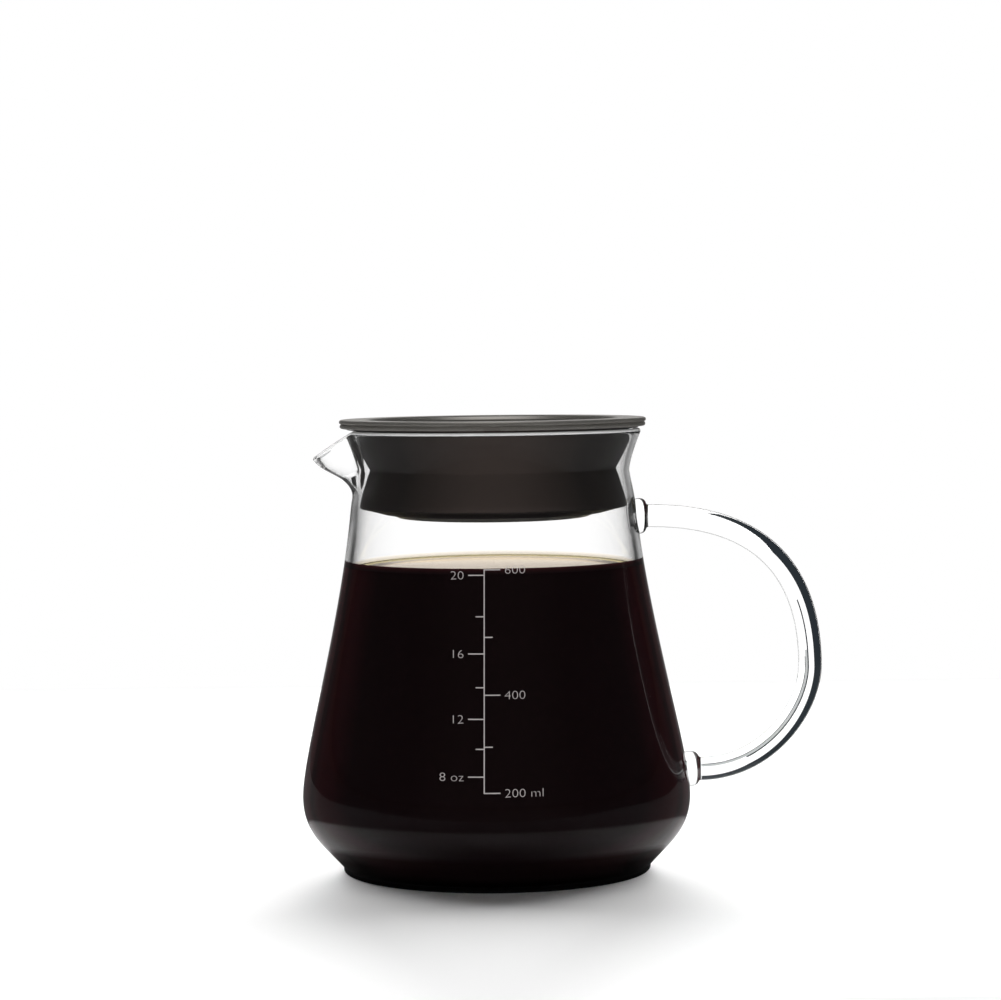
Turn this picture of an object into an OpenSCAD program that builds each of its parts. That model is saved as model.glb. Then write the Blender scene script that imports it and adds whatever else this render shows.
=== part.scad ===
// Glass coffee server with a rod handle, a beak spout and a deep steel lid in a soft seal.
// Millimetres. +Z up, the origin is the centre of the foot on the table, the handle points
// to +X and the spout to -X.

/* [Jug] */
// Radius of the foot
foot_r = 43.6; // [42:0.1:46]
// Height of the foot's upright edge
foot_h = 1.7; // [1.2:0.1:3]
// Largest radius, low on the body
belly_r = 55; // [50:0.5:65]
// Height of the largest radius
belly_z = 21.5; // [17:0.5:26]
// Height of the long cone, from the largest radius to the neck
cone_h = 81.5; // [65:0.5:98]
// Outer radius where the cone meets the neck
neck_r = 40.4; // [34:0.1:46]
// Height of the neck, from the cone to the waist
neck_h = 10.3; // [8:0.1:12.5]
// How far the waist, the narrowest ring, is drawn in from the neck
neck_draw = 1.8; // [1.4:0.1:2.2]
// Height of the mouth, from the waist to the lip's top
mouth_h = 11.9; // [9.5:0.1:14.5]
// How far the lip flares out from the waist
lip_flare = 3.2; // [2.6:0.1:3.9]
// Thickness of the body wall
wall_t = 2.1; // [1.6:0.1:2.6]
// Thickness of the neck wall, drawn out thinner
neck_t = 1.5; // [1.2:0.05:1.8]
// Thickness of the floor
floor_t = 3.4; // [2.6:0.1:5]

/* [Spout] */
// How far the beak reaches past the lip
beak_reach = 9; // [6:0.5:12]
// How far the beak's tip dips below the lip
beak_dip = 7.2; // [4:0.2:9]
// Height of the beak, from its root on the neck to the lip
beak_h = 19.2; // [15:0.1:22]
// Half of the angle that the beak takes from the rim
beak_half_angle = 21; // [16:1:28]

/* [Handle] */
// Diameter of the glass rod in the grip
rod_d = 6.6; // [5:0.1:8]
// Diameter of the rod where it leaves the neck
rod_top_d = 6.4; // [4:0.1:8]
// Distance from the belly's side to the rod's centre line at the far side of the grip
grip_out = 34.4; // [27:0.5:42]
// Height of the far side of the grip above the rod's lower end
grip_rise = 29.5; // [23:0.5:36]
// Distance from the cone's end down to the rod's upper end
handle_top_drop = 2.9; // [2.2:0.1:5]
// Height of the rod's lower end above the largest radius
handle_low_rise = 6.5; // [5:0.1:10]
// Radius of the gathers of glass that fuse the rod to the wall
weld_r = 5; // [4.2:0.1:6]
// Length of the upper gather, from the wall to the rod
weld_top_len = 3.2; // [2:0.1:5]
// Length of the lower gather
weld_low_len = 4; // [2:0.1:6]

/* [Seal] */
// Gap between the seal's lower lip and the neck's waist, which it passes
pass_gap = 0.3; // [0.2:0.05:0.5]
// How far the seal's waist is drawn in from its lower lip
seal_draw = 2; // [1.5:0.1:2.5]
// Thickness of the seal at its waist
seal_t = 3.75; // [3:0.05:5]
// Height of the seal's skirt, from its waist down to its lower lip
skirt_h = 11.1; // [9:0.1:13]
// Gap between the seal's shoulder and the inside of the lip
shoulder_gap = 1.3; // [1:0.1:2]
// Gap between the seal's flange and the jug's lip
seat_gap = 0.2; // [0.1:0.05:0.3]
// Running gap between the seal and the steel
lid_gap = 0.15; // [0.1:0.05:0.2]

/* [Lid] */
// How far the rolled rim reaches past the jug's lip
rim_over = 1.6; // [1.3:0.1:3]
// Gap between the rolled rim and the jug's lip
rim_gap = 0.55; // [0.4:0.05:1]
// Height of the rolled rim
rim_h = 2.45; // [2:0.05:3]
// Width of the rolled rim, across its section
rim_w = 1.9; // [1.6:0.1:2.3]
// Thickness of the pressed sheet
sheet_t = 0.75; // [0.5:0.05:0.9]
// How far the cup widens from its straight wall to just under the flange
cup_flare = 3.8; // [3:0.1:4.6]
// How far the cup's floor stands below the seal
cup_drop = 1.4; // [1:0.1:4]
// Outer radius of the cup's bottom corner
cup_corner_r = 5; // [3:0.5:8]
// Width of the notch in the rolled rim
notch_w = 4.5; // [3:0.5:8]

/* [Hidden] */
$fn = 120;

// Levels and radii of the jug
neck_z = belly_z + cone_h;
waist_z = neck_z + neck_h;
lip_z = waist_z + mouth_h;
waist_r = neck_r - neck_draw;
lip_r = waist_r + lip_flare;
beak_z = lip_z - beak_h;

// Overrun that keeps a cut clear of the face it starts from
cut_over = 0.5;

// Steps along one curve, round the lip, along a quarter of the handle and round the rod
curve_steps = 12;
neck_steps = 6;
lip_steps = 6;
grip_steps = 20;
rod_sides = 16;

// Rounded edge under the foot, and the width of the curve from the floor to the shoulder
foot_edge_r = 0.9;
floor_blend_w = 6;
// How far the mouth's foot is rooted in the body, and the fine step that this leaves
join_inset = 0.1;
// Thickness of the fire-polished lip
lip_t = 1.8;
// Height below the lip where the flare's end tangent starts, and the height where the wall
// begins to thin towards the waist
lip_curl_h = 3.2;
thin_z = neck_z - neck_h;

// Pulls of the body's curves: shares of the height that each one spans
shoulder_pull_shares = [0.28, 0.5];
cone_pull_shares = [0.14, 0.39];
neck_pull_shares = [0.33, 0.12];
flare_pull_share = 0.2;
// Slopes, as radius over height: the shoulder's start, the cone's end, the lip's end
shoulder_slope = 1.14;
cone_end_slope = -0.1;
lip_slope = 0.44;

function bezier(a, b, c, d, n, first = 0) = [
    for (i = [first:n]) let (t = i / n, s = 1 - t)
        s * s * s * a + 3 * s * s * t * b + 3 * s * t * t * c + t * t * t * d
];
function arc(centre, r, from, to, n) = [
    for (i = [0:n]) let (a = from + (to - from) * i / n) centre + r * [cos(a), sin(a)]
];
function clamp01(v) = min(1, max(0, v));
function smooth(v) = let (u = clamp01(v)) u * u * (3 - 2 * u);
function mix(a, b, u) = a + (b - a) * u;
function unit(v) = v / norm(v);
function reversed(list) = [for (i = [len(list) - 1:-1:0]) list[i]];
// Direction of a polyline at point i, and the normal on its right-hand side
function heading(p, i) = unit(p[min(i + 1, len(p) - 1)] - p[max(i - 1, 0)]);
function right_of(v) = [v[1], -v[0]];

// Outer surface of the jug as three joined curves: shoulder, cone, then neck and flare
lip_end_z = lip_z - lip_t / 2 * (1 + unit([lip_slope, 1])[0]);
shoulder_h = belly_z - foot_h;
flare_h = lip_end_z - waist_z;
shoulder_curve = bezier(
    [foot_r, foot_h],
    [foot_r, foot_h] + shoulder_pull_shares[0] * shoulder_h * [1, shoulder_slope],
    [belly_r, belly_z - shoulder_pull_shares[1] * shoulder_h],
    [belly_r, belly_z], curve_steps);
cone_curve = bezier(
    [belly_r, belly_z],
    [belly_r, belly_z + cone_pull_shares[0] * cone_h],
    [neck_r, neck_z] - cone_pull_shares[1] * cone_h * [cone_end_slope, 1],
    [neck_r, neck_z], curve_steps, 1);
body_curve = concat(shoulder_curve, cone_curve);
neck_curve = bezier(
    [neck_r, neck_z],
    [neck_r, neck_z] + neck_pull_shares[0] * neck_h * [cone_end_slope, 1],
    [waist_r, waist_z - neck_pull_shares[1] * neck_h],
    [waist_r, waist_z], neck_steps);
flare_curve = bezier(
    [waist_r, waist_z],
    [waist_r, waist_z + flare_pull_share * flare_h],
    [lip_r, lip_end_z] - lip_curl_h * [lip_slope, 1],
    [lip_r, lip_end_z], neck_steps, 1);
mouth_curve = concat(neck_curve, flare_curve);

// Wall thickness at a height, and the inner surface as a true offset of the outer one
function wall_at(z) =
    z < waist_z
        ? mix(wall_t, neck_t, smooth((z - thin_z) / (waist_z - thin_z)))
        : mix(neck_t, lip_t, smooth((z - waist_z) / flare_h));
function inset(p, i) = p[i] - wall_at(p[i][1]) * right_of(heading(p, i));
whole_curve = concat(body_curve, [for (i = [1:len(mouth_curve) - 1]) mouth_curve[i]]);
split = len(body_curve) - 1;
inner_curve = [for (i = [0:len(whole_curve) - 1]) inset(whole_curve, i)];
inner_body = [for (i = [0:split - 1]) if (inner_curve[i][1] > floor_t + wall_t / 2) inner_curve[i]];
inner_split = [inner_curve[split][0], neck_z];
inner_mouth = concat([inner_split], [for (i = [split + 1:len(inner_curve) - 1]) inner_curve[i]]);

// Radius of the outer surface at a height on the body
function outer_r_at(z) = lookup(z, [for (p = whole_curve) [p[1], p[0]]]);

foot_profile = concat(
    [[0, 0]],
    arc([foot_r - foot_edge_r, foot_edge_r], foot_edge_r, -90, 0, lip_steps));
floor_profile = concat(
    [[0, floor_t]],
    bezier([inner_body[0][0] - floor_blend_w, floor_t], [inner_body[0][0] - floor_blend_w / 2, floor_t],
        inner_body[0] - floor_blend_w / 4 * heading(inner_body, 0), inner_body[0], lip_steps));
outer_profile = concat(foot_profile, body_curve);
body_profile = concat(
    outer_profile, [inner_split], reversed(inner_body),
    reversed([for (i = [0:len(floor_profile) - 2]) floor_profile[i]]));

// Fire-polished lip: a half round over the end of the wall
lip_heading = heading(mouth_curve, len(mouth_curve) - 1);
lip_centre = (mouth_curve[len(mouth_curve) - 1] + inner_mouth[len(inner_mouth) - 1]) / 2;
lip_arc = [
    for (i = [1:lip_steps - 1]) let (a = 180 * i / lip_steps)
        lip_centre + lip_t / 2 * (cos(a) * right_of(lip_heading) + sin(a) * lip_heading)
];
// The mouth is a many-sided skin, so its foot is rooted just inside the body's round top
mouth_profile = concat(
    [mouth_curve[0] - [join_inset, join_inset]],
    [for (i = [1:len(mouth_curve) - 1]) mouth_curve[i]],
    lip_arc,
    [for (i = [len(inner_mouth) - 1:-1:1]) inner_mouth[i]],
    [inner_split + [join_inset, -join_inset]]);

// The beak: the mouth's own section, pushed out and down more and more towards the lip
function beak_window(a) = pow(cos(90 * clamp01(abs(a) / beak_half_angle)), 2);
function beak_push(p) = smooth((p[1] - beak_z) / (0.85 * (lip_end_z - beak_z)));
function beak_drop(p) = pow(clamp01((p[1] - beak_z) / (lip_end_z - beak_z)), 1.5);
function beak_point(p, a) =
    let (w = beak_window(a), r = p[0] + beak_reach * beak_push(p) * w)
        [-r * cos(a), -r * sin(a), p[1] - beak_dip * beak_drop(p) * w];
beak_columns = 22;
rim_columns = 54;
beak_step = 2 * beak_half_angle / beak_columns;
rim_step = (360 - 2 * beak_half_angle) / rim_columns;
mouth_angles = concat(
    [for (j = [0:beak_columns - 1]) beak_step * j - beak_half_angle],
    [for (j = [0:rim_columns - 1]) rim_step * j + beak_half_angle]);

// Skin over rows of points, each row one section: a closed ring of them, or a rod with flat ends
module skin(rows, ring = false) {
    n = len(rows);
    m = len(rows[0]);
    sides = [
        for (j = [0:ring ? n - 1 : n - 2], i = [0:m - 1])
            let (here = j * m, next = (j + 1) % n * m, k = (i + 1) % m)
                each [[here + i, here + k, next + i], [here + k, next + k, next + i]]
    ];
    caps = ring ? [] : [[for (i = [m - 1:-1:0]) i], [for (i = [0:m - 1]) (n - 1) * m + i]];
    polyhedron(points = [for (row = rows) each row], faces = concat(sides, caps));
}

module glass_jug() {
    color("lightcyan", 0.35) union() {
        rotate_extrude() polygon(body_profile);
        skin([for (a = mouth_angles) [for (p = mouth_profile) beak_point(p, a)]], ring = true);
    }
}

// Everything inside the jug's outer surface, for cutting what is fused to the wall
module jug_envelope() {
    rotate_extrude() polygon(concat(outer_profile, mouth_curve, [[0, lip_end_z]]));
}

// Centre line of the handle, from the upper gather to the lower one
handle_top_z = neck_z - handle_top_drop;
handle_low_z = belly_z + handle_low_rise;
grip_x = belly_r + grip_out;
grip_z = handle_low_z + grip_rise;
handle_x0 = outer_r_at(handle_top_z) + weld_top_len;
handle_x1 = outer_r_at(handle_low_z) + weld_low_len;
top_pull_shares = [0.72, 0.6];
low_pull_shares = [0.42, 0.6];
handle_path = concat(
    bezier(
        [handle_x0, handle_top_z],
        [mix(handle_x0, grip_x, top_pull_shares[0]), handle_top_z],
        [grip_x, mix(grip_z, handle_top_z, top_pull_shares[1])],
        [grip_x, grip_z], grip_steps),
    bezier(
        [grip_x, grip_z],
        [grip_x, mix(grip_z, handle_low_z, low_pull_shares[0])],
        [mix(handle_x1, grip_x, low_pull_shares[1]), handle_low_z],
        [handle_x1, handle_low_z], grip_steps, 1));
function rod_r_at(i) = mix(rod_top_d, rod_d, smooth(i / grip_steps)) / 2;
function rod_heading(i) =
    i == 0 ? [1, 0] : i == len(handle_path) - 1 ? [-1, 0] : heading(handle_path, i);
function rod_ring(i) =
    let (p = handle_path[i], side = right_of(rod_heading(i)), r = rod_r_at(i)) [
        for (k = [0:rod_sides - 1]) let (a = 360 * k / rod_sides)
            [p[0] + r * cos(a) * side[0], r * sin(a), p[1] + r * cos(a) * side[1]]
    ];

module handle_rod() {
    color("lightcyan", 0.35) skin([for (i = [0:len(handle_path) - 1]) rod_ring(i)]);
}

// A gather of glass from the wall out to a rod's end, cut to the wall's own curve
module weld(z, length, end_r) {
    wall_x = outer_r_at(z);
    tip_x = wall_x + length;
    root_x = wall_x - weld_r;
    difference() {
        translate([0, 0, z]) rotate([0, 90, 0]) rotate_extrude()
            polygon(concat(
                [[0, root_x], [weld_r, root_x]],
                bezier([weld_r, wall_x], [weld_r, mix(wall_x, tip_x, 0.8)],
                    [end_r, mix(wall_x, tip_x, 0.5)], [end_r, tip_x], neck_steps),
                [[0, tip_x]]));
        jug_envelope();
    }
}

module handle_weld_upper() {
    color("lightcyan", 0.35) weld(handle_top_z, weld_top_len, rod_top_d / 2);
}

module handle_weld_lower() {
    color("lightcyan", 0.35) weld(handle_low_z, weld_low_len, rod_d / 2);
}

// Lid and seal: the seal is fitted to the neck, the cup to the seal and the rim to the lip
waist_lift = 1;
skirt_slope_h = 2;
seal_edge_r = 0.6;
seal_lip_r = waist_r - neck_t - pass_gap;
seal_waist_r = seal_lip_r - seal_draw;
seal_shoulder_r = lip_r - lip_t - shoulder_gap;
seal_bore_r = seal_waist_r - seal_t;
seal_waist_z = waist_z + waist_lift;
seal_lip_z = seal_waist_z - skirt_h;
seal_foot_z = seal_lip_z - skirt_slope_h;
seal_shoulder_z = lip_z - lip_curl_h;
rim_r = lip_r + rim_over;
rim_low_z = lip_z + rim_gap;
flange_z = rim_low_z + rim_h;
sheet_low_z = flange_z - sheet_t;
cup_r = seal_bore_r - lid_gap;
cup_mouth_r = cup_r + cup_flare;
cup_straight_z = waist_z;
cup_floor_z = seal_foot_z - cup_drop;
// Radius of the bend from the flange into the cup
bend_r = 1.5;
bend_x = cup_mouth_r + bend_r;

// Rolled rim: an upper and a lower round with a fine seam between them
seam_depth = 0.35;
round_r = rim_h / 4;
rim_profile = concat(
    arc([rim_r - round_r, flange_z - round_r], round_r, 90, -50, lip_steps),
    [[rim_r - seam_depth - round_r / 2, flange_z - rim_h / 2]],
    arc([rim_r - seam_depth / 2 - round_r, rim_low_z + round_r], round_r, 50, -90, lip_steps),
    [[rim_r - rim_w, rim_low_z], [rim_r - rim_w, sheet_low_z]]);
// Outer face of the drawn cup, top down, and its inner face, bottom up
cup_outer_down = concat(
    arc([bend_x, sheet_low_z - bend_r], bend_r, 90, 180, neck_steps),
    [[cup_r, cup_straight_z]],
    arc([cup_r - cup_corner_r, cup_floor_z + cup_corner_r], cup_corner_r, 0, -90, neck_steps),
    [[0, cup_floor_z]]);
cup_inner_up = concat(
    [[0, cup_floor_z + sheet_t]],
    arc([cup_r - cup_corner_r, cup_floor_z + cup_corner_r], cup_corner_r - sheet_t, -90, 0, neck_steps),
    [[cup_r - sheet_t, cup_straight_z]],
    arc([bend_x, sheet_low_z - bend_r], bend_r + sheet_t, 180, 90, neck_steps));

module lid_pan() {
    color("silver") difference() {
        rotate_extrude() polygon(concat(rim_profile, cup_outer_down, cup_inner_up));
        translate([-notch_w / 2, -rim_r - cut_over, rim_low_z - cut_over])
            cube([notch_w, rim_w + cut_over, rim_h / 2 + cut_over]);
    }
}

// Seal: a flange under the steel one, then an hourglass round the cup, whose waist sits a
// little above the jug's and whose underside slopes down to the cup
seal_top_z = sheet_low_z - lid_gap;
seal_low_z = lip_z + seat_gap;
seal_flange_r = rim_r - rim_w - lid_gap;
seal_profile = concat(
    [[seal_bore_r, seal_foot_z], [seal_lip_r - seal_edge_r, seal_lip_z - seal_edge_r / 2]],
    arc([seal_lip_r - seal_edge_r, seal_lip_z + seal_edge_r / 2], seal_edge_r, -60, 0, 3),
    bezier(
        [seal_lip_r, seal_lip_z + seal_edge_r],
        [seal_lip_r, seal_lip_z + skirt_h / 3],
        [seal_waist_r + seal_draw / 2, seal_waist_z - skirt_h / 3],
        [seal_waist_r, seal_waist_z], neck_steps, 1),
    [
        [seal_shoulder_r, seal_shoulder_z],
        [seal_shoulder_r, seal_low_z],
        [seal_flange_r, seal_low_z],
        [seal_flange_r, seal_top_z]
    ],
    arc([bend_x, sheet_low_z - bend_r], bend_r - lid_gap, 90, 180, neck_steps),
    [[seal_bore_r, cup_straight_z]]);

module lid_seal() {
    color("dimgray") rotate_extrude() polygon(seal_profile);
}

glass_jug();
handle_rod();
handle_weld_upper();
handle_weld_lower();
lid_seal();
lid_pan();
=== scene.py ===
"""Looks of a glass coffee server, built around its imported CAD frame.

The jug, its rod handle and the two gathers that join them are one fused glass mesh. The coffee, the
printed volume scale and the soft seal are pieces of their own, and the steel lid is the CAD's.
"""

import math

import bmesh
import bpy
from bpy.props import FloatProperty, FloatVectorProperty, PointerProperty
from mathutils import Matrix, Vector


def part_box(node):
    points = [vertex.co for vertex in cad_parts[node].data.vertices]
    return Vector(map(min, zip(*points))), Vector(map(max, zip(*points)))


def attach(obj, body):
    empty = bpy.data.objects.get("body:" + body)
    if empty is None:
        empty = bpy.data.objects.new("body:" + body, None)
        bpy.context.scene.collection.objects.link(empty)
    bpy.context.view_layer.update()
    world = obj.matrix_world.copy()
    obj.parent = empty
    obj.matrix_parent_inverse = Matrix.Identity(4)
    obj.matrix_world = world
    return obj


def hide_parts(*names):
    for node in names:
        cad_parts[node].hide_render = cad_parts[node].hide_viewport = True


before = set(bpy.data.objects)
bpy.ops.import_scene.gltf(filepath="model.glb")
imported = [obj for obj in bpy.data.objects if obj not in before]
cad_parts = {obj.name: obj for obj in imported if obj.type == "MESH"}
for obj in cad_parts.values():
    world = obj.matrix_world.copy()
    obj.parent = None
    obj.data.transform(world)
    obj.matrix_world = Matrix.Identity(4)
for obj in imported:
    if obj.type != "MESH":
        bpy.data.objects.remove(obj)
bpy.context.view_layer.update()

bl_info = {
    "name": "Glass Coffee Server",
    "version": (1, 0, 0),
    "blender": (4, 5, 0),
    "location": "View3D > Sidebar > Server",
    "description": "Builds a glass coffee server with its coffee, printed scale, seal and steel lid",
    "category": "Add Mesh",
}

MM = 0.001
WHITE = (1.0, 1.0, 1.0)
GLASS_IOR = 1.47
COFFEE_IOR = 1.333
# What makes a Mix node mix colours. Its colour sockets go by number, because others share their names
OF_COLOURS = {"data_type": "RGBA", "output": 2}
FIRST, SECOND = 6, 7
# Where a count of bounces is compared, half a bounce keeps the whole numbers apart
HALF_BOUNCE = 0.5
# Angle between two faces from which the seal and the coffee show an edge
CREASE = math.radians(50)
# Smallest rise between two points of an outline
LEAST_RISE = 1e-9

# Corners of the CAD pieces, from which the main sizes follow
jug_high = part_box("glass_jug")[1]
rod_low, rod_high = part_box("handle_rod")
seal_low, seal_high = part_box("lid_seal")


def linear(hex_colour):
    """Linear RGB of an sRGB hex colour."""
    shares = [int(hex_colour[i : i + 2], 16) / 255 for i in (1, 3, 5)]
    return tuple(s / 12.92 if s <= 0.04045 else ((s + 0.055) / 1.055) ** 2.4 for s in shares)


def grey(level):
    return (level, level, level)


def greys(*stops):
    """Stops of a colour ramp, from (place, level of grey) pairs."""
    return [(place, grey(level)) for place, level in stops]


def length(name, description, default):
    """A length in metres, shown in the scene's units."""
    return FloatProperty(name=name, description=description, default=default, unit="LENGTH", precision=5)


def degrees(name, description, default):
    """An angle, with its default in degrees."""
    return FloatProperty(name=name, description=description, default=math.radians(default), subtype="ANGLE")


def brightness(name, description, default):
    """The level of a light. At 1 it shows a surface that faces it at the surface's own colour."""
    return FloatProperty(name=name, description=description, default=default, min=0)


def colour(name, description, hex_colour):
    """A colour picked as an sRGB hex value."""
    return FloatVectorProperty(
        name=name, description=description, default=linear(hex_colour), subtype="COLOR", min=0, max=1
    )


class ServerJugSettings(bpy.types.PropertyGroup):
    foot_radius: length("Foot radius", "Radius of the foot", 43.6 * MM)
    foot_height: length("Foot height", "Height of the foot's upright edge", 1.7 * MM)
    foot_edge: length("Foot edge", "Radius of the rounded edge under the foot", 0.9 * MM)
    belly_radius: length("Belly radius", "Largest radius of the jug", jug_high.y)
    belly_height: length("Belly height", "Height of the largest radius", 21.5 * MM)
    cone_height: length("Cone height", "Height of the long cone above the belly", 81.5 * MM)
    neck_radius: length("Neck radius", "Outer radius where the cone meets the neck", 40.4 * MM)
    neck_height: length("Neck height", "Height from the cone to the waist", 10.3 * MM)
    neck_draw: length("Neck draw", "How far the waist is drawn in from the neck", 1.8 * MM)
    lip_flare: length("Lip flare", "How far the lip flares out from the waist", 3.2 * MM)
    lip_curl: length("Lip curl", "Height below the lip where its flare straightens", 3.2 * MM)
    lip_thickness: length("Lip thickness", "Thickness of the fire-polished lip", 1.8 * MM)
    wall: length("Wall", "Thickness of the body wall", 2.1 * MM)
    neck_wall: length("Neck wall", "Thickness of the drawn neck wall", 1.5 * MM)
    floor: length("Floor", "Thickness of the floor", 3.4 * MM)
    floor_blend: length("Floor blend", "Width of the curve from the floor to the shoulder", 6 * MM)
    beak_reach: length("Beak reach", "How far the beak reaches past the lip", 9 * MM)
    beak_dip: length("Beak dip", "How far the beak's tip dips below the lip", 7.2 * MM)
    beak_height: length("Beak height", "Height of the beak, from its root to the lip", 19.2 * MM)
    beak_half_angle: degrees("Beak half angle", "Half of the angle the beak takes from the rim", 21)


class ServerHandleSettings(bpy.types.PropertyGroup):
    rod: length("Rod", "Diameter of the rod in the grip", 6.6 * MM)
    rod_top: length("Rod at the neck", "Diameter of the rod where it leaves the neck", 6.4 * MM)
    grip_rise: length("Grip rise", "Height of the grip's far side above the lower end", 29.5 * MM)
    gather: length("Gather", "Radius of the gathers that fuse the rod to the wall", 5 * MM)
    gather_top: length("Upper gather", "Length of the upper gather", 3.2 * MM)
    gather_low: length("Lower gather", "Length of the lower gather", 4 * MM)
    root: length("Root", "How deep the gathers reach into the wall", 1.05 * MM)


class ServerCoffeeSettings(bpy.types.PropertyGroup):
    level: length("Level", "Height of the coffee's surface", 86.5 * MM)
    creep: length("Creep", "How far the coffee climbs the wall", 1.8 * MM)
    meniscus: length("Meniscus", "Width of the curved edge of the surface", 3.4 * MM)
    contact: length("Contact", "How far the coffee is sunk into the glass, to show no gap", 0.2 * MM)
    body: colour("Body", "Colour of the coffee in depth", "#0B0506")
    # Painted light: the coffee's dark red near its outline, for light that gets past its side
    edge: colour("Edge", "Colour of the coffee close to its outline", "#1A0709")
    skin: colour("Skin", "Colour of the coffee at its outline, where light gets through", "#301518")
    # Pale colours of the thin coffee at the wall: partly its own, partly painted light for the white behind
    # it
    rim: colour("Rim", "Colour of the coffee's thin edge at the wall", "#D3C598")
    film: colour("Film", "Colour of the thinnest film above it", "#FFFDF6")


class ServerScaleSettings(bpy.types.PropertyGroup):
    offset: length("Offset", "Place of the scale's line, left of the jug's axis", -2.9 * MM)
    lean: length("Lean", "How far the line's lower end leans to the left of its upper end", -0.6 * MM)
    stroke: length("Stroke", "Width of the printed lines", 0.3 * MM)
    major: length("Major tick", "Length of a numbered tick", 4.35 * MM)
    minor: length("Minor tick", "Length of a tick between them", 2.3 * MM)
    digit: length("Digits", "Height of the digits", 2.4 * MM)
    text_gap: length("Text gap", "Distance from the line to the text", 5.4 * MM)
    proud: length("Proud", "How far the fired print stands off the glass", 0.05 * MM)
    ink: colour("Enamel", "Colour of the fired enamel", "#ACA6A6")


class ServerSealSettings(bpy.types.PropertyGroup):
    lip: length("Lip radius", "Radius of the relaxed lower lip", 37.8 * MM)
    waist: length("Waist radius", "Radius of the waist", 34.8 * MM)
    shoulder: length("Shoulder radius", "Radius of the shoulder in the mouth", 38.7 * MM)
    skirt: length("Skirt", "Height from the waist down to the lower lip", 11.1 * MM)
    bore: length("Bore radius", "Radius of the bore round the steel cup", 31.05 * MM)
    edge: length("Edge", "Radius of the moulded edges", 0.6 * MM)
    silicone: colour("Silicone", "Colour of the seal, face on", "#352E2B")
    # Painted shade: the seal's colour where it turns away from the eye
    shade: colour("Silicone Shade", "Colour of the seal where it turns away", "#1B1817")


class ServerStageSettings(bpy.types.PropertyGroup):
    distance: length("Distance", "Distance from the camera to the jug's axis", 940 * MM)
    height: length("Height", "Height of the camera", 150 * MM)
    side: length("Side", "Place of the camera, right of the jug's axis", 2.04 * MM)
    lens: FloatProperty(name="Lens", description="Focal length in millimetres", default=119.5)
    pitch: degrees("Pitch", "Downward tilt of the camera", 2.74)
    roll: degrees("Roll", "Roll of the camera", -0.64)
    ambient: brightness("Ambient", "Light from all around", 0.05)
    key: brightness("Key", "Level of the lights behind the jug", 1.0)
    fill: brightness("Fill", "Light from the camera's side", 0.7)


def add_node(tree, kind, numbered=None, output=0, stops=(), **named):
    """Adds a shader node and returns one of its outputs. Named values go to its attributes and
    sockets, and numbered ones to its sockets, each as a plain value or as the output that feeds
    it. Stops are the (place, colour) pairs of a colour ramp."""
    node = tree.nodes.new("ShaderNode" + kind)
    fed = dict(numbered or {})
    for name, value in named.items():
        if hasattr(node, name):
            setattr(node, name, value)
        else:
            fed[name.replace("_", " ")] = value
    for key, value in fed.items():
        socket = node.inputs[key]
        if isinstance(value, bpy.types.NodeSocket):
            tree.links.new(value, socket)
        else:
            socket.default_value = (*value, 1) if socket.type == "RGBA" else value
    if stops:
        elements = node.color_ramp.elements
        elements.remove(elements[-1])
        elements[0].position, elements[0].color = stops[0][0], (*stops[0][1], 1)
        for place, stop in stops[1:]:
            elements.new(place).color = (*stop, 1)
    return node.outputs[output] if node.outputs else None


def new_material(name):
    """An empty node material and its tree."""
    material = bpy.data.materials.new(name)
    material.use_nodes = True
    material.node_tree.nodes.clear()
    return material, material.node_tree


def height_share(tree, low, high):
    """0 below a height of the object and 1 above another, with an even rise between them."""
    place = add_node(tree, "TexCoord", output="Object")
    z = add_node(tree, "SeparateXYZ", output="Z", Vector=place)
    return add_node(tree, "MapRange", Value=z, From_Min=low, From_Max=high)


def bounced(tree, kind):
    """1 on a light path with at least one bounce of a kind, else 0."""
    depth = add_node(tree, "LightPath", output=f"{kind} Depth")
    return add_node(tree, "Math", {0: depth, 1: HALF_BOUNCE}, operation="GREATER_THAN")


def clear_shadow(tree, shader, shade=WHITE):
    """Clear glass casts no shadow on what stands behind it, or one of the given shade."""
    way_out = add_node(tree, "BsdfTransparent", Color=shade)
    path = add_node(tree, "LightPath", output="Is Shadow Ray")
    return add_node(tree, "MixShader", {0: path, 1: shader, 2: way_out})


# Painted shade on the glass foot, as dark as the coffee that it shows, and the shade that it leaves on the
# floor
FOOT_PAINTED_SHADE = grey(0.004)
FOOT_SHADE = grey(0.05)


def borosilicate(name, stops, upper_stops=(), upper_heights=(), foot_heights=()):
    """Drawn and blown borosilicate glass: clear, with no colour face on. Where the eye looks along
    the wall, its colour carries painted shade, for the light that gets there comes from far to the
    side. The upper stops take over between two heights. Below the foot's two heights the thick glass
    is painted as dark as the coffee above it, a painted shade for the darkness that it shows."""
    material, tree = new_material(name)
    facing = add_node(tree, "LayerWeight", output="Facing")
    # Painted shade where the eye looks along the wall
    tint = add_node(tree, "ValToRGB", stops=stops, Fac=facing)
    shade = WHITE
    if upper_stops:
        upper = add_node(tree, "ValToRGB", stops=upper_stops, Fac=facing)
        share = height_share(tree, *upper_heights)
        tint = add_node(tree, "Mix", {0: share, FIRST: tint, SECOND: upper}, **OF_COLOURS)
    # Below the foot: painted shade on the glass, and a shadow cast on the floor
    if foot_heights:
        share = height_share(tree, *foot_heights)
        tint = add_node(tree, "Mix", {0: share, FIRST: FOOT_PAINTED_SHADE, SECOND: tint}, **OF_COLOURS)
        shade = add_node(tree, "Mix", {0: share, FIRST: FOOT_SHADE, SECOND: WHITE}, **OF_COLOURS)
    shader = add_node(
        tree,
        "BsdfPrincipled",
        Base_Color=tint,
        Roughness=0.0,
        IOR=GLASS_IOR,
        Transmission_Weight=1.0,
    )
    add_node(tree, "OutputMaterial", Surface=clear_shadow(tree, shader, shade))
    return material


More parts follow.
